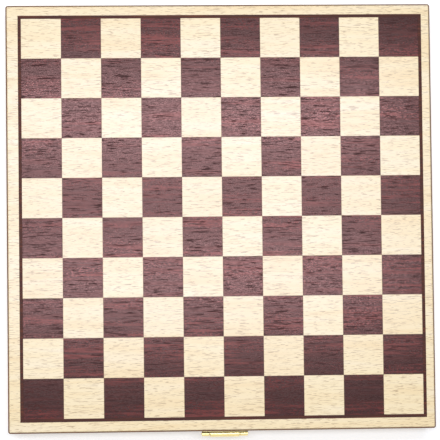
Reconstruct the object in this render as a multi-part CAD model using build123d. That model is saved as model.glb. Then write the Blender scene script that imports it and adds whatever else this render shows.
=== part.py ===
from build123d import *
import math
import os

# A flat hinged case for chess and draughts, closed, in millimetres.
# The origin is the middle of the underside. X runs along the clasp side,
# Y from the clasp side to the hinge side, Z up.

# Boards: a brown fibreboard core with veneer inlay on its show face
field_side = 37.4
draughts_fields = 10
chess_fields = 8
stringing_width = 3.0
border_width = 10.0
core_thickness = 4.0
veneer_thickness = 0.6
edge_chamfer = 1.8
inlay_shift_x = 1.45
inlay_shift_y = 0.4

# Case: solid beech rails, finger-jointed at the corners
base_height = 37.0
lid_height = 16.8
seam_gap = 0.2
rail_thickness = 9.0
chamfered_corner_radius = 0.5
seam_arris = 0.4
base_fingers = 5
lid_fingers = 3

# Inside: one trough for the draughtsmen and four bays for the chessmen
divider_thickness = 4.0
divider_below_seam = 2.0
trough_width = 32.0
housing_depth = 3.0
divider_housing_depth = 1.0
glue_clearance = 0.1
scoop_radius = 40.0
scoop_depth = 14.0
felt_thickness = 1.0
felt_gap = 0.3

# Butt hinges at the back
hinge_from_middle = 120.0
hinge_length = 30.0
hinge_knuckles = 3
hinge_leaf_thickness = 0.9
hinge_leaf_width = 8.0
hinge_knuckle_radius = 1.8
hinge_pin_radius = 0.8
hinge_set_out = 0.4
hinge_screw_spacing = 18.0

# Snap clasp at the front
clasp_offset_x = 2.0
clasp_width = 43.0
clasp_middle_width = 27.6
clasp_sheet = 0.9
clasp_axis_above_seam = 4.0
clasp_leaf_height = 8.0
clasp_ear_radius = 2.3
clasp_knuckle_radius = 2.95
clasp_pin_radius = 1.1
clasp_pin_head = 0.5
clasp_pin_head_radius = 1.6
clasp_ear_gap = 0.5
clasp_wall_clearance = 0.15
flap_length = 17.0
flap_tip_width = 19.0
flap_sheet_from_axis = 1.15
flap_lip_radius = 1.3
bead_radius = 0.4
bead_below_axis = 15.0
catch_width = 36.0
catch_height = 14.0
catch_below_seam = 3.0
catch_nose_width = 15.0
catch_nose_radius = 1.0
catch_nose_below_axis = 13.0
snap_clearance = 0.15
clasp_screw_spacing = 28.0

# Fits and screws
running_clearance = 0.05
end_clearance = 0.1
turning_relief = 0.3
screw_head_radius = 1.5
screw_head_height = 0.8
screw_shank_radius = 0.75
screw_length = 6.0
screw_point = 1.5
screw_sides = 16
screw_slot_width = 0.4
screw_slot_depth = 0.3
screw_clearance = 0.05

# Worked out from the sizes above
board_side = draughts_fields * field_side
inlay_side = board_side + 2 * stringing_width
case_side = inlay_side + 2 * border_width
board_thickness = core_thickness + veneer_thickness
corner_radius = edge_chamfer + chamfered_corner_radius
outer = case_side / 2
inner = outer - rail_thickness
floor = board_thickness
lid_bottom = base_height + seam_gap
lid_top = lid_bottom + lid_height
lid_ceiling = lid_top - board_thickness
divider_top = base_height - divider_below_seam
trough_front = inner - trough_width
long_divider_front = trough_front - divider_thickness
cross_divider_y = (long_divider_front - inner) / 2
hinge_axis_y = outer + hinge_set_out
hinge_axis_z = base_height + seam_gap / 2
clasp_axis_y = -(outer + clasp_wall_clearance + clasp_knuckle_radius)
clasp_axis_z = base_height + clasp_axis_above_seam


def block(across, along, up):
    """A block between two limits on X, on Y and on Z."""
    limits = (across, along, up)
    sizes = [high - low for low, high in limits]
    middle = [(high + low) / 2 for low, high in limits]
    return Pos(*middle) * Box(*sizes)


def rod(radius, across, y, z):
    """A round rod along X between two limits."""
    low, high = across
    return Pos((low + high) / 2, y, z) * Rot(0, 90, 0) * Cylinder(radius, high - low)


def case_outline(bottom, top):
    """A slab with the case's plan, its corners rounded."""
    plan = RectangleRounded(case_side, case_side, corner_radius)
    return Pos(0, 0, bottom) * extrude(plan, top - bottom)


def save(name, pieces):
    """Write one sub-part, of one or several solids, to its own file."""
    solids = [solid for piece in pieces for solid in piece.solids()]
    shape = solids[0] if len(solids) == 1 else Compound(children=solids)
    export_step(shape, f"parts/{name}.step")


def frustum(top_radius, bottom_radius, depth):
    """A flat-sided frustum that reaches down from the origin."""
    angles = [2 * math.pi * corner / screw_sides for corner in range(screw_sides)]
    top = [Vector(top_radius * math.cos(a), top_radius * math.sin(a), 0) for a in angles]
    bottom = [Vector(bottom_radius * math.cos(a), bottom_radius * math.sin(a), -depth) for a in angles]
    rings = [top, bottom]
    for corner in range(screw_sides):
        rings.append([top[corner - 1], top[corner], bottom[corner], bottom[corner - 1]])
    return Solid(Shell([Face(Wire.make_polygon(ring)) for ring in rings]))


def wood_screw(spread=0.0):
    """A countersunk wood screw pointing down, its head's face at the origin.

    With a spread it is the hole that the screw sits in. Its round parts have flat sides.
    """
    shank_radius = screw_shank_radius + spread
    head = frustum(screw_head_radius + spread, shank_radius, screw_head_height + spread)
    if spread:
        depth = screw_length + spread
        return head + frustum(shank_radius, shank_radius, depth)
    shank_end = screw_length - screw_point
    shank = frustum(shank_radius, shank_radius, shank_end)
    point = Pos(0, 0, -shank_end) * frustum(shank_radius, shank_radius / 4, screw_point)
    slot = Box(2 * screw_head_radius, screw_slot_width, 2 * screw_slot_depth)
    return head + shank + point - slot


# Boards


def board_pieces(show_face, outward, fields, shift, dark_remainder):
    """A board with its show face at one height: core, border, stringing, light and dark squares.

    outward is 1 where the show face looks up and -1 where it looks down.
    """
    back = show_face - outward * board_thickness
    glue_line = show_face - outward * veneer_thickness
    slab = case_outline(min(show_face, back), max(show_face, back))
    rim = slab.faces().sort_by(Axis.Z)[-1 if outward > 0 else 0].edges()
    slab = chamfer(rim, edge_chamfer)
    veneer_levels = (min(show_face, glue_line), max(show_face, glue_line))
    core_levels = (min(glue_line, back), max(glue_line, back))
    core = slab & block((-outer, outer), (-outer, outer), core_levels)
    veneer = slab & block((-outer, outer), (-outer, outer), veneer_levels)

    def inlay(half_side):
        across = (shift[0] - half_side, shift[0] + half_side)
        along = (shift[1] - half_side, shift[1] + half_side)
        return block(across, along, veneer_levels)

    border = veneer - inlay(inlay_side / 2)
    stringing = inlay(inlay_side / 2) - inlay(board_side / 2)
    side = board_side / fields
    squares = {True: [], False: []}
    for column in range(fields):
        for row in range(fields):
            left = shift[0] - board_side / 2 + column * side
            front = shift[1] - board_side / 2 + row * side
            is_dark = (column + row) % 2 == dark_remainder
            squares[is_dark].append(block((left, left + side), (front, front + side), veneer_levels))
    return core, border, stringing, squares[False], squares[True]


# Rails


def frame_rails(bottom, top, finger_count, seam_face):
    """Front, back, left and right rails, their fingers interlaced at the corners.

    seam_face is -1 where the seam is the top face of the frame and 0 where it is the bottom face.
    """
    finger = (top - bottom) / finger_count
    envelope = case_outline(bottom, top)
    envelope = chamfer(envelope.faces().sort_by(Axis.Z)[seam_face].edges(), seam_arris)
    front = block((-outer, outer), (-outer, -inner), (bottom, top))
    left = block((-outer, -inner), (-inner, inner), (bottom, top))
    for number in range(1, finger_count, 2):
        levels = (bottom + number * finger, bottom + (number + 1) * finger)
        for side in (-1, 1):
            corner = sorted((side * outer, side * inner))
            front -= block(corner, (-outer, -inner), levels)
            left += block((-outer, -inner), corner, levels)
    front = front & envelope
    left = left & envelope
    return front, mirror(front, Plane.XZ), left, mirror(left, Plane.YZ)


# Dividers


def housing(across, along):
    """The housing that takes one divider's end, open below and stopped at the divider's top."""
    return block(across, along, (floor, divider_top + glue_clearance))


def widened(limits):
    """Two limits with the glue clearance added on both sides."""
    return (limits[0] - glue_clearance, limits[1] + glue_clearance)


half_divider = divider_thickness / 2
middle_line = (-half_divider, half_divider)
cross_line = (cross_divider_y - half_divider, cross_divider_y + half_divider)
long_line = (long_divider_front, trough_front)
divider_levels = (floor, divider_top)
lap_level = (floor + divider_top) / 2

long_divider = block((-inner - housing_depth, inner + housing_depth), long_line, divider_levels)
scoop_z = divider_top + scoop_radius - scoop_depth
for side in (-1, 1):
    scoop = Cylinder(scoop_radius, 4 * divider_thickness)
    trough_middle = side * (inner + half_divider) / 2
    long_divider -= Pos(trough_middle, trough_front, scoop_z) * Rot(90, 0, 0) * scoop
for edge, inward in ((long_divider_front, 1), (trough_front, -1)):
    depth = sorted((edge, edge + inward * (divider_housing_depth + glue_clearance)))
    long_divider -= housing(widened(middle_line), depth)

centre_ends = (-inner - housing_depth, long_divider_front + divider_housing_depth)
centre_divider = block(middle_line, centre_ends, divider_levels)
centre_divider -= block(middle_line, widened(cross_line), (lap_level, divider_top))
cross_ends = (-inner - housing_depth, inner + housing_depth)
cross_divider = block(cross_ends, cross_line, divider_levels)
cross_divider -= block(widened(middle_line), cross_line, (floor, lap_level))
stop_ends = (trough_front - divider_housing_depth, inner + housing_depth)
trough_stop = block(middle_line, stop_ends, divider_levels)


# Hinges


def knuckle_reach(number):
    """The X limits of one knuckle's place, from the middle of its hinge."""
    pitch = hinge_length / hinge_knuckles
    start = number * pitch - hinge_length / 2
    return (start, start + pitch)


def hinge_leaf(first_knuckle, levels):
    """A butt hinge's leaf, with every second knuckle and cut back for the other leaf's."""
    reach = (-hinge_length / 2, hinge_length / 2)
    leaf = block(reach, (hinge_axis_y - hinge_leaf_width, hinge_axis_y), levels)
    for number in range(hinge_knuckles):
        start, end = knuckle_reach(number)
        if number % 2 == first_knuckle:
            own = (start + end_clearance, end - end_clearance)
            leaf += rod(hinge_knuckle_radius, own, hinge_axis_y, hinge_axis_z)
        else:
            relief = hinge_knuckle_radius + turning_relief
            leaf -= rod(relief, (start, end), hinge_axis_y, hinge_axis_z)
    bore = hinge_pin_radius + running_clearance
    return leaf - rod(bore, (-hinge_length, hinge_length), hinge_axis_y, hinge_axis_z)


def hinge_mortise(levels):
    """What is cut from a rail for a leaf and for the turning knuckles."""
    half_length = hinge_length / 2 + end_clearance
    along = (hinge_axis_y - hinge_leaf_width - end_clearance, hinge_axis_y)
    pocket = block((-half_length, half_length), along, levels)
    relief = hinge_knuckle_radius + turning_relief
    return pocket + rod(relief, (-half_length, half_length), hinge_axis_y, hinge_axis_z)


base_leaf_levels = (base_height - hinge_leaf_thickness, base_height)
lid_leaf_levels = (lid_bottom, lid_bottom + hinge_leaf_thickness)
hinge_places = [Pos(-hinge_from_middle, 0, 0), Pos(hinge_from_middle, 0, 0)]
hinge_screw_y = (hinge_axis_y - hinge_leaf_width + outer) / 2
hinge_screw_xs = (-hinge_screw_spacing / 2, hinge_screw_spacing / 2)
base_screw_places = [
    hinge * Pos(x, hinge_screw_y, base_height) for hinge in hinge_places for x in hinge_screw_xs
]
lid_screw_places = [
    hinge * Pos(x, hinge_screw_y, lid_bottom) * Rot(180, 0, 0)
    for hinge in hinge_places
    for x in hinge_screw_xs
]
base_leaf = hinge_leaf(0, base_leaf_levels)
lid_leaf = hinge_leaf(1, lid_leaf_levels)
hinge_pin = rod(hinge_pin_radius, (-hinge_length / 2, hinge_length / 2), hinge_axis_y, hinge_axis_z)


# Clasp

clasp_middle = Pos(clasp_offset_x, 0, 0)
ear_inner = clasp_middle_width / 2 + clasp_ear_gap
leaf_face = -(outer + clasp_sheet)
sheet_inner_face = clasp_axis_y - flap_sheet_from_axis
nose_crest = sheet_inner_face + bead_radius + snap_clearance


def lying_profile(face, across):
    """A face drawn in Y and Z, drawn out along X between two limits."""
    length = across[1] - across[0]
    return Pos(across[0], 0, 0) * extrude(Plane.YZ * face, length)


def clasp_leaf_plate():
    """The sheet on the lid's front, with an ear at each end for the pin."""
    half_width = clasp_width / 2
    plate_top = clasp_axis_z + clasp_leaf_height
    plate = block((-half_width, half_width), (leaf_face, -outer), (clasp_axis_z, plate_top))
    notch_top = clasp_axis_z + clasp_knuckle_radius + end_clearance
    plate -= block((-ear_inner, ear_inner), (leaf_face, -outer), (clasp_axis_z, notch_top))
    top_corners = plate.edges().filter_by(Axis.Y).group_by(Axis.Z)[-1]
    plate = fillet(top_corners, clasp_sheet)
    for ear in ((-half_width, -ear_inner), (ear_inner, half_width)):
        plate += rod(clasp_ear_radius, ear, clasp_axis_y, clasp_axis_z)
    bore = clasp_pin_radius + running_clearance
    return plate - rod(bore, (-half_width, half_width), clasp_axis_y, clasp_axis_z)


def clasp_flap_sheet():
    """The flap: a knuckle, a hanging sheet that narrows, a snap bead and a finger lip."""
    half_width = clasp_middle_width / 2
    sheet_middle = sheet_inner_face - clasp_sheet / 2
    bend_z = clasp_axis_z - flap_length
    path = Line((sheet_middle, clasp_axis_z), (sheet_middle, bend_z))
    path += RadiusArc(
        (sheet_middle, bend_z),
        (sheet_middle - flap_lip_radius, bend_z - flap_lip_radius),
        flap_lip_radius,
    )
    sheet = lying_profile(trace(path, clasp_sheet), (-half_width, half_width))
    tip_z = bend_z - flap_lip_radius - clasp_sheet
    front_view = Polyline(
        (-half_width, clasp_axis_z + clasp_sheet),
        (half_width, clasp_axis_z + clasp_sheet),
        (half_width, clasp_axis_z - clasp_knuckle_radius),
        (flap_tip_width / 2, tip_z),
        (-flap_tip_width / 2, tip_z),
        (-half_width, clasp_axis_z - clasp_knuckle_radius),
        close=True,
    )
    flap_depth = clasp_knuckle_radius + flap_lip_radius + clasp_sheet
    silhouette = extrude(Plane.XZ * make_face(front_view), flap_depth, both=True)
    silhouette = Pos(0, clasp_axis_y, 0) * silhouette
    sheet = sheet & silhouette
    bead_reach = (-catch_nose_width / 2, catch_nose_width / 2)
    sheet += rod(bead_radius, bead_reach, sheet_inner_face, clasp_axis_z - bead_below_axis)
    knuckle = rod(clasp_knuckle_radius, (-half_width, half_width), clasp_axis_y, clasp_axis_z)
    bore = clasp_pin_radius + running_clearance
    return sheet + knuckle - rod(bore, (-half_width, half_width), clasp_axis_y, clasp_axis_z)


def clasp_catch_plate():
    """The sheet on the base's front, with the rounded nose that the bead snaps under."""
    half_width = catch_width / 2
    top = base_height - catch_below_seam
    plate = block((-half_width, half_width), (leaf_face, -outer), (top - catch_height, top))
    plate = fillet(plate.edges().filter_by(Axis.Y), clasp_sheet)
    nose_z = clasp_axis_z - catch_nose_below_axis
    nose_y = nose_crest + catch_nose_radius
    ramp = Polyline(
        (leaf_face + clasp_sheet / 2, nose_z - catch_nose_radius),
        (nose_y, nose_z - catch_nose_radius),
        (nose_y, nose_z + catch_nose_radius),
        (leaf_face + clasp_sheet / 2, nose_z + 2 * catch_nose_radius),
        close=True,
    )
    reach = (-catch_nose_width / 2, catch_nose_width / 2)
    nose = lying_profile(make_face(ramp), reach) + rod(catch_nose_radius, reach, nose_y, nose_z)
    return plate + nose


clasp_pin = rod(clasp_pin_radius, (-clasp_width / 2, clasp_width / 2), clasp_axis_y, clasp_axis_z)
for side in (-1, 1):
    dome = Rot(0, side * 90, 0) * Cone(clasp_pin_head_radius, clasp_pin_radius / 2, clasp_pin_head)
    head_x = side * (clasp_width + clasp_pin_head) / 2
    clasp_pin += Pos(head_x, clasp_axis_y, clasp_axis_z) * dome

leaf_screw_z = clasp_axis_z + (clasp_leaf_height + clasp_knuckle_radius) / 2
catch_screw_z = base_height - catch_below_seam - catch_height / 2
clasp_screw_xs = (-clasp_screw_spacing / 2, clasp_screw_spacing / 2)
leaf_screw_places = [
    clasp_middle * Pos(x, leaf_face, leaf_screw_z) * Rot(90, 0, 0) for x in clasp_screw_xs
]
catch_screw_places = [
    clasp_middle * Pos(x, leaf_face, catch_screw_z) * Rot(90, 0, 0) for x in clasp_screw_xs
]


def with_screw_holes(piece, places):
    """A piece with the screws' holes cut in it."""
    for place in places:
        piece -= place * wood_screw(screw_clearance)
    return piece


# Cutting the rails and putting everything together

lid_board = board_pieces(lid_top, 1, draughts_fields, (inlay_shift_x, inlay_shift_y), 0)
base_board = board_pieces(0.0, -1, chess_fields, (0.0, 0.0), 1)
lid_front, lid_back, lid_left, lid_right = frame_rails(lid_bottom, lid_ceiling, lid_fingers, 0)
base_front, base_back, base_left, base_right = frame_rails(floor, base_height, base_fingers, -1)

for hinge in hinge_places:
    base_back -= hinge * hinge_mortise((base_leaf_levels[0], lid_bottom))
    lid_back -= hinge * hinge_mortise((base_height, lid_leaf_levels[1]))
base_back = with_screw_holes(base_back, base_screw_places)
lid_back = with_screw_holes(lid_back, lid_screw_places)
lid_front = with_screw_holes(lid_front, leaf_screw_places)
base_front = with_screw_holes(base_front, catch_screw_places)

pocket_depth = housing_depth + glue_clearance
base_front -= housing(widened(middle_line), (-inner - pocket_depth, -inner))
base_back -= housing(widened(middle_line), (inner, inner + pocket_depth))
for line in (cross_line, long_line):
    base_left -= housing((-inner - pocket_depth, -inner), widened(line))
    base_right -= housing((inner, inner + pocket_depth), widened(line))

base_leaves = [with_screw_holes(hinge * base_leaf, base_screw_places) for hinge in hinge_places]
lid_leaves = [with_screw_holes(hinge * lid_leaf, lid_screw_places) for hinge in hinge_places]
clasp_leaf = with_screw_holes(clasp_middle * clasp_leaf_plate(), leaf_screw_places)
clasp_catch = with_screw_holes(clasp_middle * clasp_catch_plate(), catch_screw_places)


def felt(across, along, levels):
    """A felt sheet that lies in a compartment, a little clear of its walls."""
    across = (across[0] + felt_gap, across[1] - felt_gap)
    along = (along[0] + felt_gap, along[1] - felt_gap)
    return block(across, along, levels)


felt_levels = (floor, floor + felt_thickness)
bay_columns = ((-inner, -half_divider), (half_divider, inner))
bay_rows = ((-inner, cross_line[0]), (cross_line[1], long_divider_front), (trough_front, inner))
base_lining = [felt(across, along, felt_levels) for across in bay_columns for along in bay_rows]
lid_lining = felt((-inner, inner), (-inner, inner), (lid_ceiling - felt_thickness, lid_ceiling))

os.makedirs("parts", exist_ok=True)
save("base_panel", [base_board[0]])
save("chess_border", [base_board[1]])
save("chess_stringing", [base_board[2]])
save("chess_light_squares", base_board[3])
save("chess_dark_squares", base_board[4])
save("base_front_rail", [base_front])
save("base_back_rail", [base_back])
save("base_left_rail", [base_left])
save("base_right_rail", [base_right])
save("long_divider", [long_divider])
save("trough_stop", [trough_stop])
save("centre_divider", [centre_divider])
save("cross_divider", [cross_divider])
save("base_lining", base_lining)
save("base_hinge_leaves", base_leaves)
save("hinge_pins", [hinge * hinge_pin for hinge in hinge_places])
save("base_hinge_screws", [place * wood_screw() for place in base_screw_places])
save("clasp_catch", [clasp_catch])
save("clasp_catch_screws", [place * wood_screw() for place in catch_screw_places])
save("lid_front_rail", [lid_front])
save("lid_back_rail", [lid_back])
save("lid_left_rail", [lid_left])
save("lid_right_rail", [lid_right])
save("lid_panel", [lid_board[0]])
save("draughts_border", [lid_board[1]])
save("draughts_stringing", [lid_board[2]])
save("draughts_light_squares", lid_board[3])
save("draughts_dark_squares", lid_board[4])
save("lid_lining", [lid_lining])
save("lid_hinge_leaves", lid_leaves)
save("lid_hinge_screws", [place * wood_screw() for place in lid_screw_places])
save("clasp_leaf", [clasp_leaf])
save("clasp_pin", [clasp_middle * clasp_pin])
save("clasp_leaf_screws", [place * wood_screw() for place in leaf_screw_places])
save("clasp_flap", [clasp_middle * clasp_flap_sheet()])
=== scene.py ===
import bmesh
import bpy
import math
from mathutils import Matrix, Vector


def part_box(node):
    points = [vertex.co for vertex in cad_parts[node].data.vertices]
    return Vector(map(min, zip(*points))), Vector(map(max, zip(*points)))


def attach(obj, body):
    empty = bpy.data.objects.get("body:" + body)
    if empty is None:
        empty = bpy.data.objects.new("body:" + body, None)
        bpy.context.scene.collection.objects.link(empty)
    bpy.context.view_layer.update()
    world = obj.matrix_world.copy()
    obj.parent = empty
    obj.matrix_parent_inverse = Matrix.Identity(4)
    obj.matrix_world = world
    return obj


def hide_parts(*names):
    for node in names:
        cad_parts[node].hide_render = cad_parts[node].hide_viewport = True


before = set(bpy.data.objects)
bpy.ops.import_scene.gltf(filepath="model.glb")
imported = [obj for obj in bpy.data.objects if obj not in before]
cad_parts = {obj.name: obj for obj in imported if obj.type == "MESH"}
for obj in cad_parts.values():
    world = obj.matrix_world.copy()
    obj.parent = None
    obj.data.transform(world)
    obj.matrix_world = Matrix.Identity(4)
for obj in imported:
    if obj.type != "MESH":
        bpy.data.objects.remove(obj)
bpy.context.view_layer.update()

# Base rails
# Four rails of solid beech, lacquered, with fingers cut at their ends and glued at the corners.
# Front and back rails have their grain along X, left and right rails along Y.


def paint(red, green, blue):
    """A colour given as it looks on a screen, from 0 to 255."""
    levels = [level / 255 for level in (red, green, blue)]
    linear = [v / 12.92 if v <= 0.04045 else ((v + 0.055) / 1.055) ** 2.4 for v in levels]
    return (*linear, 1.0)


def start_finish(name):
    """A new material and its shader."""
    material = bpy.data.materials.new(name)
    material.use_nodes = True
    return material, material.node_tree.nodes["Principled BSDF"]


def step(owner, kind, inputs=None, **settings):
    """One node of a material or of the world; an input is a value or another node's output."""
    node = owner.node_tree.nodes.new(kind)
    for setting, value in settings.items():
        setattr(node, setting, value)
    for socket, value in (inputs or {}).items():
        if isinstance(value, bpy.types.NodeSocket):
            owner.node_tree.links.new(value, node.inputs[socket])
        else:
            node.inputs[socket].default_value = value
    return node


def join(owner, output, shader, socket):
    """Lets a worked-out value drive one of the shader's sockets."""
    owner.node_tree.links.new(output, shader.inputs[socket])


def sums(owner, operation, *values):
    """Arithmetic on values or outputs."""
    inputs = dict(enumerate(values))
    return step(owner, "ShaderNodeMath", inputs, operation=operation).outputs[0]


def spread(material, value, low, high, to_low=0.0, to_high=1.0):
    """Stretches a value between two limits, smoothly, and stops at them."""
    inputs = {"Value": value, "From Min": low, "From Max": high}
    inputs.update({"To Min": to_low, "To Max": to_high})
    settings = {"interpolation_type": "SMOOTHSTEP"}
    return step(material, "ShaderNodeMapRange", inputs, **settings).outputs["Result"]


def blended(material, share, first, second, kind="MIX"):
    """Two colours mixed by a share."""
    inputs = {0: share, 6: first, 7: second}
    settings = {"data_type": "RGBA", "blend_type": kind}
    return step(material, "ShaderNodeMix", inputs, **settings).outputs[2]


def shades(material, value, stops):
    """Colours laid along a value from 0 to 1."""
    node = step(material, "ShaderNodeValToRGB", {"Fac": value})
    elements = node.color_ramp.elements
    while len(elements) < len(stops):
        elements.new(0.5)
    for element, (place, colour) in zip(elements, stops):
        element.position = place
        element.color = colour
    return node.outputs["Color"]


def figure(material, place, lengthwise, crosswise, along="X", detail=2.0, wander=0.0):
    """Noise drawn out along the grain; the two scales are marks per metre."""
    scale = {
        "X": (lengthwise, crosswise, crosswise),
        "Y": (crosswise, lengthwise, crosswise),
    }[along]
    mapped = step(material, "ShaderNodeMapping", {"Vector": place, "Scale": scale}).outputs[0]
    inputs = {"Vector": mapped, "Scale": 1.0, "Detail": detail, "Distortion": wander}
    return step(material, "ShaderNodeTexNoise", inputs).outputs["Fac"]


def object_place(material):
    """The place on the piece, which stays with it when it moves."""
    return step(material, "ShaderNodeTexCoord").outputs["Object"]


eased_edge = 0.0003


def raise_grain(material, shader, height, depth):
    """A shallow relief from a value, with its depth in metres, and edges that look eased."""
    eased = step(material, "ShaderNodeBevel", {"Radius": eased_edge}, samples=4).outputs[0]
    inputs = {"Height": height, "Strength": 0.6, "Distance": depth, "Normal": eased}
    join(material, step(material, "ShaderNodeBump", inputs).outputs[0], shader, "Normal")


def solid_beech(name, along):
    """Lacquered beech: soft bands, fine fibres and short dark ray flecks; darker end grain."""
    material, shader = start_finish(name)
    place = object_place(material)
    bands = figure(material, place, 7, 190, along, detail=4, wander=0.6)
    fibres = figure(material, place, 70, 2600, along, detail=3)
    rays = figure(material, place, 300, 1600, along, detail=1, wander=0.3)
    tone = shades(material, bands, [
        (0.28, paint(250, 226, 184)),
        (0.5, paint(243, 212, 164)),
        (0.74, paint(230, 192, 140)),
    ])
    fine = spread(material, fibres, 0.3, 0.75)
    tone = blended(material, sums(material, "MULTIPLY", fine, 0.3), tone, paint(205, 165, 115))
    fleck = spread(material, rays, 0.61, 0.69)
    tone = blended(material, sums(material, "MULTIPLY", fleck, 0.5), tone, paint(176, 124, 80))
    facing = step(material, "ShaderNodeTexCoord").outputs["Normal"]
    facing_along = step(material, "ShaderNodeSeparateXYZ", {0: facing}).outputs[along]
    end_on = sums(material, "ABSOLUTE", facing_along)
    end_grain = spread(material, end_on, 0.6, 0.9)
    pores = figure(material, place, 2400, 2400, along, detail=2)
    end_tone = blended(material, pores, paint(176, 130, 84), paint(214, 172, 122))
    tone = blended(material, sums(material, "MULTIPLY", end_grain, 0.85), tone, end_tone)
    join(material, tone, shader, "Base Color")
    join(material, spread(material, fibres, 0.2, 0.8, 0.34, 0.48), shader, "Roughness")
    shader.inputs["Coat Weight"].default_value = 0.25
    shader.inputs["Coat Roughness"].default_value = 0.22
    raise_grain(material, shader, fibres, 0.00006)
    return material


def finish_node(node, material):
    """Gives a piece of the frame its finish."""
    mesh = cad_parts[node].data
    mesh.materials.clear()
    mesh.materials.append(material)


beech_along_x = solid_beech("beech_along_x", "X")
beech_along_y = solid_beech("beech_along_y", "Y")
for node in ("base_front_rail", "base_back_rail"):
    finish_node(node, beech_along_x)
for node in ("base_left_rail", "base_right_rail"):
    finish_node(node, beech_along_y)

# Dividers of the base
# Thin beech boards, housed in the rails and half-lapped where they cross.
# The long one has finger scoops, so that the draughtsmen can be lifted out.

for node in ("long_divider", "cross_divider"):
    finish_node(node, beech_along_x)
for node in ("centre_divider", "trough_stop"):
    finish_node(node, beech_along_y)

# Base panel
# A sheet of brown fibreboard glued under the rails, its edge planed to a slope.
# Only its edge shows, as a dark outline round the case.


def brown_core(name):
    """Fibreboard: even brown with pressed fibres."""
    material, shader = start_finish(name)
    place = object_place(material)
    specks = figure(material, place, 1500, 1500, detail=4)
    clouds = figure(material, place, 60, 60, detail=2)
    tone = shades(material, specks, [
        (0.3, paint(98, 63, 40)),
        (0.55, paint(128, 86, 55)),
        (0.75, paint(156, 111, 74)),
    ])
    tone = blended(material, sums(material, "MULTIPLY", clouds, 0.4), tone, paint(106, 68, 42))
    join(material, tone, shader, "Base Color")
    shader.inputs["Roughness"].default_value = 0.62
    raise_grain(material, shader, specks, 0.0001)
    return material


core_finish = brown_core("brown_core")
finish_node("base_panel", core_finish)

# Chess board on the underside
# Sawn veneers of beech and dark-stained wood, inlaid flush: 64 squares in a dark line and
# a border. All of it is sanded and lacquered in one go.


def square_places(material, place, node, squares_each_way):
    """The number of each point's square, and the metres from there to the square's edge."""
    low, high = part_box(node)
    side = (high.x - low.x) / squares_each_way
    moved = step(material, "ShaderNodeVectorMath", {0: place, 1: low}, operation="SUBTRACT")
    scaled = step(
        material, "ShaderNodeVectorMath", {0: moved.outputs[0], 3: 1 / side}, operation="SCALE"
    )
    number = step(material, "ShaderNodeVectorMath", {0: scaled.outputs[0]}, operation="FLOOR")
    within = step(
        material, "ShaderNodeVectorMath", {0: scaled.outputs[0]}, operation="FRACTION"
    )
    across = step(material, "ShaderNodeSeparateXYZ", {0: within.outputs[0]}).outputs
    edges = []
    for axis in "XY":
        other = sums(material, "SUBTRACT", 1.0, across[axis])
        edges.append(sums(material, "MINIMUM", across[axis], other))
    from_edge = sums(material, "MULTIPLY", sums(material, "MINIMUM", *edges), side)
    return step(material, "ShaderNodeSeparateXYZ", {0: number.outputs[0]}).outputs, from_edge


def chance(material, column, row, salt):
    """A random value and a random place for one square."""
    seed = step(material, "ShaderNodeCombineXYZ", {0: column, 1: row, 2: salt}).outputs[0]
    node = step(material, "ShaderNodeTexWhiteNoise", {"Vector": seed}, noise_dimensions="3D")
    return node.outputs["Value"], node.outputs["Color"]


def shifted(material, place, random_place):
    """Another stretch of the veneer, cut up to two metres away."""
    farthest = 2.0
    inputs = {0: random_place, 3: farthest}
    far = step(material, "ShaderNodeVectorMath", inputs, operation="SCALE").outputs[0]
    return step(material, "ShaderNodeVectorMath", {0: place, 1: far}).outputs[0]


def lacquer(shader, sheen_colour):
    """A satin lacquer over the wood."""
    shader.inputs["Specular IOR Level"].default_value = 0.38
    shader.inputs["Specular Tint"].default_value = sheen_colour


pale_sheen = (0.7, 0.73, 0.98, 1.0)
red_sheen = (1.0, 0.55, 0.5, 1.0)


def light_veneer(name, node=None, squares_each_way=0):
    """Beech veneer with thin ray flecks; each square, if any, is cut from another stretch."""
    material, shader = start_finish(name)
    place = object_place(material)
    tint = 0.5
    if squares_each_way:
        number, from_edge = square_places(material, place, node, squares_each_way)
        tint, random_place = chance(material, number["X"], number["Y"], 3.7)
        place = shifted(material, place, random_place)
    bands = figure(material, place, 8, 110, detail=4, wander=0.5)
    fibres = figure(material, place, 60, 2400, detail=3)
    rays = figure(material, place, 140, 1700, detail=1, wander=0.4)
    tone = shades(material, bands, [
        (0.3, paint(254, 236, 197)),
        (0.5, paint(253, 232, 185)),
        (0.72, paint(248, 221, 168)),
    ])
    tone = blended(material, sums(material, "MULTIPLY", tint, 0.25), tone, paint(246, 217, 168))
    fine = spread(material, fibres, 0.35, 0.75)
    tone = blended(material, sums(material, "MULTIPLY", fine, 0.15), tone, paint(228, 196, 150))
    fleck = spread(material, rays, 0.58, 0.66)
    tone = blended(material, sums(material, "MULTIPLY", fleck, 0.6), tone, paint(164, 128, 86))
    if squares_each_way:
        knife_line = spread(material, from_edge, 0.0, 0.0003, 0.35, 0.0)
        tone = blended(material, knife_line, tone, paint(120, 80, 50))
    join(material, tone, shader, "Base Color")
    join(material, spread(material, fibres, 0.2, 0.8, 0.2, 0.3), shader, "Roughness")
    lacquer(shader, pale_sheen)
    raise_grain(material, shader, fibres, 0.00002)
    return material


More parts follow.
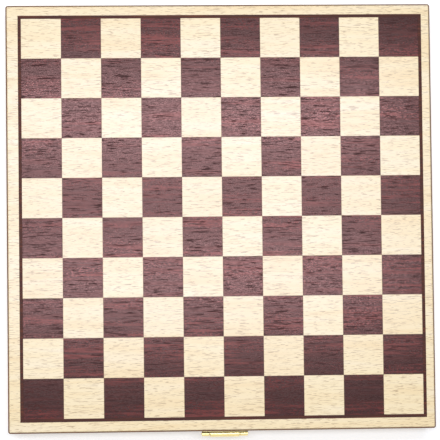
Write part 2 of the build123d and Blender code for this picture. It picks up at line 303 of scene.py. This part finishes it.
def dark_veneer(name, node, squares_each_way):
    """Dark-stained veneer; its streaks nearly run on from square to square in a row."""
    material, shader = start_finish(name)
    place = object_place(material)
    number, from_edge = square_places(material, place, node, squares_each_way)
    row_tint, row_place = chance(material, 0.0, number["Y"], 1.3)
    tint = chance(material, number["X"], number["Y"], 8.1)[0]
    place = shifted(material, place, row_place)
    bands = figure(material, place, 5, 62, detail=3, wander=0.3)
    red = figure(material, place, 14, 330, detail=4, wander=0.4)
    lines = figure(material, place, 16, 520, detail=4, wander=0.7)
    streaks = figure(material, place, 90, 1000, detail=3, wander=0.3)
    pores = figure(material, place, 420, 1250, detail=2)
    tone = shades(material, pores, [
        (0.39, paint(8, 2, 4)),
        (0.49, paint(34, 10, 12)),
        (0.6, paint(108, 46, 44)),
    ])
    red_share = spread(material, red, 0.47, 0.62, 0.0, 0.65)
    tone = blended(material, red_share, tone, paint(128, 58, 54))
    dark_share = spread(material, bands, 0.42, 0.6, 0.0, 0.75)
    tone = blended(material, dark_share, tone, paint(34, 24, 40), "MULTIPLY")
    line_share = spread(material, lines, 0.52, 0.61, 0.0, 0.85)
    tone = blended(material, line_share, tone, paint(16, 4, 7))
    deep = spread(material, streaks, 0.52, 0.63)
    tone = blended(material, sums(material, "MULTIPLY", deep, 0.8), tone, paint(26, 10, 13))
    shade = sums(material, "MULTIPLY", sums(material, "ADD", tint, row_tint), 0.12)
    tone = blended(material, shade, tone, paint(40, 20, 22))
    knife_line = spread(material, from_edge, 0.0, 0.0005, 0.5, 0.0)
    tone = blended(material, knife_line, tone, paint(30, 16, 15))
    join(material, tone, shader, "Base Color")
    satin = spread(material, pores, 0.36, 0.64, 0.27, 0.17)
    open_grain = sums(material, "MULTIPLY", deep, 0.55)
    join(material, sums(material, "MAXIMUM", satin, open_grain), shader, "Roughness")
    lacquer(shader, red_sheen)
    raise_grain(material, shader, pores, 0.000035)
    return material


def dark_line(name):
    """The inlaid line: a straight-grained dark strip."""
    material, shader = start_finish(name)
    place = object_place(material)
    streaks = figure(material, place, 30, 700, detail=4)
    tone = shades(material, streaks, [
        (0.3, paint(22, 9, 6)),
        (0.5, paint(50, 24, 16)),
        (0.7, paint(92, 50, 34)),
    ])
    join(material, tone, shader, "Base Color")
    join(material, spread(material, streaks, 0.2, 0.8, 0.46, 0.58), shader, "Roughness")
    lacquer(shader, red_sheen)
    return material


chess_squares_each_way = 8
border_finish = light_veneer("border_veneer")
line_finish = dark_line("dark_line")
finish_node("chess_border", border_finish)
finish_node("chess_stringing", line_finish)
finish_node(
    "chess_light_squares",
    light_veneer("chess_light_veneer", "chess_light_squares", chess_squares_each_way),
)
finish_node(
    "chess_dark_squares",
    dark_veneer("chess_dark_veneer", "chess_dark_squares", chess_squares_each_way),
)

# Felt in the base
# Green wool felt, cut to each compartment a little short of its walls and laid on the panel.
# Its cut edge is soft and its nap is slightly uneven.


def loose_boxes(node):
    """The limits of each separate solid of a node, as low and high corners."""
    same_place = 1e-6
    mesh = bmesh.new()
    mesh.from_mesh(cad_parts[node].data)
    bmesh.ops.remove_doubles(mesh, verts=mesh.verts, dist=same_place)
    left = set(mesh.verts)
    boxes = []
    while left:
        reached = [left.pop()]
        solid = list(reached)
        while reached:
            for edge in reached.pop().link_edges:
                for vertex in edge.verts:
                    if vertex in left:
                        left.remove(vertex)
                        reached.append(vertex)
                        solid.append(vertex)
        low = Vector([min(v.co[axis] for v in solid) for axis in range(3)])
        high = Vector([max(v.co[axis] for v in solid) for axis in range(3)])
        boxes.append((low, high))
    mesh.free()
    return sorted(boxes, key=lambda limits: (round(limits[0].x, 4), round(limits[0].y, 4)))


def felt_finish(name):
    """Wool felt: matted fibres with a soft sheen."""
    material, shader = start_finish(name)
    place = object_place(material)
    matting = figure(material, place, 900, 900, detail=6, wander=1.5)
    clouds = figure(material, place, 35, 35, detail=3)
    tone = shades(material, matting, [
        (0.3, paint(18, 54, 33)),
        (0.55, paint(30, 78, 48)),
        (0.78, paint(52, 104, 70)),
    ])
    tone = blended(material, sums(material, "MULTIPLY", clouds, 0.35), tone, paint(24, 66, 40))
    join(material, tone, shader, "Base Color")
    shader.inputs["Roughness"].default_value = 0.95
    shader.inputs["Sheen Weight"].default_value = 0.35
    shader.inputs["Sheen Roughness"].default_value = 0.5
    raise_grain(material, shader, matting, 0.0003)
    return material


def felt_sheet(name, low, high, nap_side, material, body):
    """A laid felt sheet with soft edges; nap_side is 1 where its free face looks up."""
    cell = 0.004
    least_cells = 8
    counts = [max(least_cells, round((high[axis] - low[axis]) / cell)) for axis in (0, 1)]
    edge_round = 0.0006
    nap_depth = 0.00004
    mesh = bmesh.new()

    def layer(is_nap):
        rows = []
        for j in range(counts[1] + 1):
            row = []
            for i in range(counts[0] + 1):
                x = low.x + (high.x - low.x) * i / counts[0]
                y = low.y + (high.y - low.y) * j / counts[1]
                depth = 0.0
                if is_nap:
                    at_edge = i in (0, counts[0]) or j in (0, counts[1])
                    drift = 2 * math.sin(120 * y)
                    wave = math.sin(310 * x + drift) * math.cos(270 * y + 90 * x)
                    depth = edge_round if at_edge else nap_depth * (1 + wave)
                free = high.z - depth if nap_side > 0 else low.z + depth
                glued = low.z if nap_side > 0 else high.z
                row.append(mesh.verts.new((x, y, free if is_nap else glued)))
            rows.append(row)
        return rows

    nap = layer(True)
    back = layer(False)
    for j in range(counts[1]):
        for i in range(counts[0]):
            for rows in (nap, back):
                mesh.faces.new((rows[j][i], rows[j][i + 1], rows[j + 1][i + 1], rows[j + 1][i]))
    around = [(0, i) for i in range(counts[0])]
    around += [(j, counts[0]) for j in range(counts[1])]
    around += [(counts[1], i) for i in range(counts[0], 0, -1)]
    around += [(j, 0) for j in range(counts[1], 0, -1)]
    for here, there in zip(around, around[1:] + around[:1]):
        corners = (back[here[0]][here[1]], back[there[0]][there[1]])
        corners += (nap[there[0]][there[1]], nap[here[0]][here[1]])
        mesh.faces.new(corners)
    bmesh.ops.recalc_face_normals(mesh, faces=mesh.faces)
    for face in mesh.faces:
        face.smooth = True
    data = bpy.data.meshes.new(name)
    mesh.to_mesh(data)
    mesh.free()
    data.materials.append(material)
    piece = bpy.data.objects.new(name, data)
    bpy.context.scene.collection.objects.link(piece)
    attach(piece, body)
    return piece


felt_material = felt_finish("wool_felt")
for count, (low, high) in enumerate(loose_boxes("base_lining"), 1):
    sheet = felt_sheet(f"base_felt_{count}", low, high, 1, felt_material, "base")
    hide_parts("base_lining")

# Hinges
# Two small butt hinges of stamped brass, let into the rails, each with three rolled knuckles
# on a pin. The base leaf carries the two outer knuckles.


def brass(name, roughness):
    """Lacquered pale brass, faintly brushed and dulled, with painted shade darkening its
    corners and crevices.
    """
    material, shader = start_finish(name)
    place = object_place(material)
    rub = figure(material, place, 60, 3000, detail=2)
    dull = figure(material, place, 240, 240, detail=3)
    tone = shades(material, dull, [
        (0.3, paint(230, 210, 148)),
        (0.55, paint(238, 220, 160)),
        (0.8, paint(224, 200, 134)),
    ])
    # Painted shade: where ambient occlusion finds corners, gaps and crevices, the brass colour
    # is blended towards dark brown.
    crevice = step(material, "ShaderNodeAmbientOcclusion", {"Distance": 0.003}, samples=8)
    painted_crevice_shade = spread(material, crevice.outputs["AO"], 0.4, 0.9, 0.95, 0.0)
    tone = blended(material, painted_crevice_shade, tone, paint(62, 46, 24))
    join(material, tone, shader, "Base Color")
    shader.inputs["Metallic"].default_value = 1.0
    uneven = spread(material, rub, 0.25, 0.75, roughness - 0.04, roughness + 0.05)
    join(material, uneven, shader, "Roughness")
    raise_grain(material, shader, rub, 0.000004)
    return material


bright_brass = brass("bright_brass", 0.42)
worn_brass = brass("worn_brass", 0.47)
hinge_plates = ("base_hinge_leaves", "lid_hinge_leaves")
hinge_fixings = ("hinge_pins", "base_hinge_screws", "lid_hinge_screws")
for node in hinge_plates + hinge_fixings:
    finish_node(node, worn_brass)

# Catch
# A stamped brass plate on the base's front with a rounded nose, held by two screws.
# The flap's bead snaps under the nose.

finish_node("clasp_catch", bright_brass)
finish_node("clasp_catch_screws", bright_brass)

# Lid rails
# The same beech as the base's rails, lower, with three fingers at each corner.
# They carry the board above.

for node in ("lid_front_rail", "lid_back_rail"):
    finish_node(node, beech_along_x)
for node in ("lid_left_rail", "lid_right_rail"):
    finish_node(node, beech_along_y)

# Lid panel
# The same brown fibreboard as below, glued on the lid's rails.
# Its sloping edge is the thin dark outline round the board.

finish_node("lid_panel", core_finish)

# Draughts board on the lid
# A hundred squares of beech and dark veneer, ten each way, in a dark inlaid line and a beech
# border. The grain of every piece runs along X.

draughts_squares_each_way = 10
finish_node("draughts_border", border_finish)
finish_node("draughts_stringing", line_finish)
finish_node(
    "draughts_light_squares",
    light_veneer("draughts_light_veneer", "draughts_light_squares", draughts_squares_each_way),
)
finish_node(
    "draughts_dark_squares",
    dark_veneer("draughts_dark_veneer", "draughts_dark_squares", draughts_squares_each_way),
)

# Felt in the lid
# One sheet of the same felt, glued to the inside of the lid's panel.
# Its nap looks down when the lid is shut.

lid_low, lid_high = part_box("lid_lining")
lid_felt = felt_sheet("lid_felt", lid_low, lid_high, -1, felt_material, "lid")
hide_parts("lid_lining")

# Clasp
# A leaf screwed to the lid's front, a pin with domed ends and a flap that hangs from it.
# All three are of the same brass as the catch.

for node in ("clasp_leaf", "clasp_leaf_screws", "clasp_pin", "clasp_flap"):
    finish_node(node, bright_brass)

# Table and backdrop
# A plain pale table that shows white, with the case's own soft shadow on it.
# It is open under the case and not seen from below, so that the underside can be looked at.

table_reach = 6.0
just_inside = 0.999
rim_band = 0.985
flat_limit = 1e-5
table_mesh = bpy.data.meshes.new("table")
opening = bmesh.new()
rest_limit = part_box("chess_border")[0].z + flat_limit
rim = [v.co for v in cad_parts["chess_border"].data.vertices if v.co.z < rest_limit]
outer_reach = rim_band * max(abs(corner.x) for corner in rim)
outline = {
    round(math.atan2(corner.y, corner.x), 4): corner
    for corner in rim
    if max(abs(corner.x), abs(corner.y)) > outer_reach
}
inside = []
for _, corner in sorted(outline.items()):
    inside.append(opening.verts.new((corner.x * just_inside, corner.y * just_inside, 0.0)))
outside = []
for x, y in ((-1, -1), (1, -1), (1, 1), (-1, 1)):
    outside.append(opening.verts.new((x * table_reach, y * table_reach, 0.0)))
loops = []
for ring in (inside, outside):
    loops += [opening.edges.new(pair) for pair in zip(ring, ring[1:] + ring[:1])]
bmesh.ops.triangle_fill(opening, use_beauty=True, edges=loops, normal=(0, 0, 1))
opening.to_mesh(table_mesh)
opening.free()
table = bpy.data.objects.new("table", table_mesh)
bpy.context.scene.collection.objects.link(table)
table_finish, table_shader = start_finish("pale_table")
table_shader.inputs["Base Color"].default_value = (0.86, 0.86, 0.86, 1.0)
table_shader.inputs["Roughness"].default_value = 0.9
table_shader.inputs["Specular IOR Level"].default_value = 0.0
table_shader.inputs["Emission Color"].default_value = (1.0, 1.0, 1.0, 1.0)
seen = step(table_finish, "ShaderNodeLightPath").outputs
mirrored = sums(table_finish, "MAXIMUM", seen["Is Glossy Ray"], seen["Is Transmission Ray"])
directly = sums(table_finish, "MAXIMUM", seen["Is Camera Ray"], mirrored)
place = object_place(table_finish)
away = step(table_finish, "ShaderNodeVectorMath", {0: place}, operation="LENGTH")
near, far = 0.3, 1.5
near_lift, far_lift = 0.42, 0.7
lift = spread(table_finish, away.outputs["Value"], near, far, near_lift, far_lift)
white_lift = sums(table_finish, "MULTIPLY", directly, lift)
join(table_finish, white_lift, table_shader, "Emission Strength")
behind = step(table_finish, "ShaderNodeNewGeometry").outputs["Backfacing"]
unseen = step(table_finish, "ShaderNodeBsdfTransparent").outputs[0]
from_below = sums(table_finish, "MULTIPLY", behind, seen["Is Camera Ray"])
sides = {0: from_below, 1: table_shader.outputs[0], 2: unseen}
parted = step(table_finish, "ShaderNodeMixShader", sides).outputs[0]
join(table_finish, parted, table_finish.node_tree.nodes["Material Output"], "Surface")
table_mesh.materials.append(table_finish)

# Light and camera
# A pale room, a soft lamp at the left, one for the underside, and two long lamps above the
# board, whose reflection hazes two bands of it. The camera looks down from far away.

world = bpy.data.worlds.new("pale_room")
bpy.context.scene.world = world
world.use_nodes = True
sky = world.node_tree.nodes["Background"]
room_level = 0.385
seen = step(world, "ShaderNodeLightPath").outputs
mirrored = sums(world, "MAXIMUM", seen["Is Glossy Ray"], seen["Is Transmission Ray"])
seen_white = sums(world, "MAXIMUM", seen["Is Camera Ray"], mirrored)
limits = {"Value": seen_white, "To Min": room_level, "To Max": 1.0}
level = step(world, "ShaderNodeMapRange", limits).outputs["Result"]
join(world, level, sky, "Strength")
sky.inputs["Color"].default_value = (1.0, 1.0, 1.0, 1.0)


def soft_lamp(name, place, aim, size, power, colour=(1.0, 1.0, 1.0)):
    """A rectangular soft lamp that looks at a point."""
    lamp = bpy.data.lights.new(name, "AREA")
    lamp.color = colour
    lamp.shape = "RECTANGLE"
    lamp.size, lamp.size_y = size
    lamp.energy = power
    holder = bpy.data.objects.new(name, lamp)
    bpy.context.scene.collection.objects.link(holder)
    holder.location = place
    holder.rotation_euler = (Vector(aim) - Vector(place)).to_track_quat("-Z", "Y").to_euler()
    holder.visible_camera = False


long_lamp_size = (0.8, 0.12)
long_lamp_height = 1.5
cool_white = (0.92, 0.98, 1.12)
for name, along, power in (("lamp_back", 0.23, 6.9), ("lamp_front", -0.036, 6.1)):
    place = (0.0, along, long_lamp_height)
    soft_lamp(name, place, (0.0, along, 0.0), long_lamp_size, power, cool_white)
middle = (0.0, 0.0, 0.0)
soft_lamp("lamp_below", (0.3, 0.3, -1.5), middle, size=(1.0, 1.0), power=18.0)
soft_lamp("lamp_left", (-1.4, 0.9, 1.6), middle, size=(1.2, 1.2), power=6.0)

camera_place = (-0.0891, -0.0809, 1.9043)
camera_turn = (0.04265, -0.04719, -0.0115)
camera_data = bpy.data.cameras.new("camera")
camera = bpy.data.objects.new("camera", camera_data)
bpy.context.scene.collection.objects.link(camera)
camera.location = camera_place
camera.rotation_euler = camera_turn
camera_data.sensor_width = 36.0
camera_data.lens = 161.87
camera_data.clip_end = 30.0
bpy.context.scene.camera = camera
bpy.context.scene.view_settings.view_transform = "Standard"
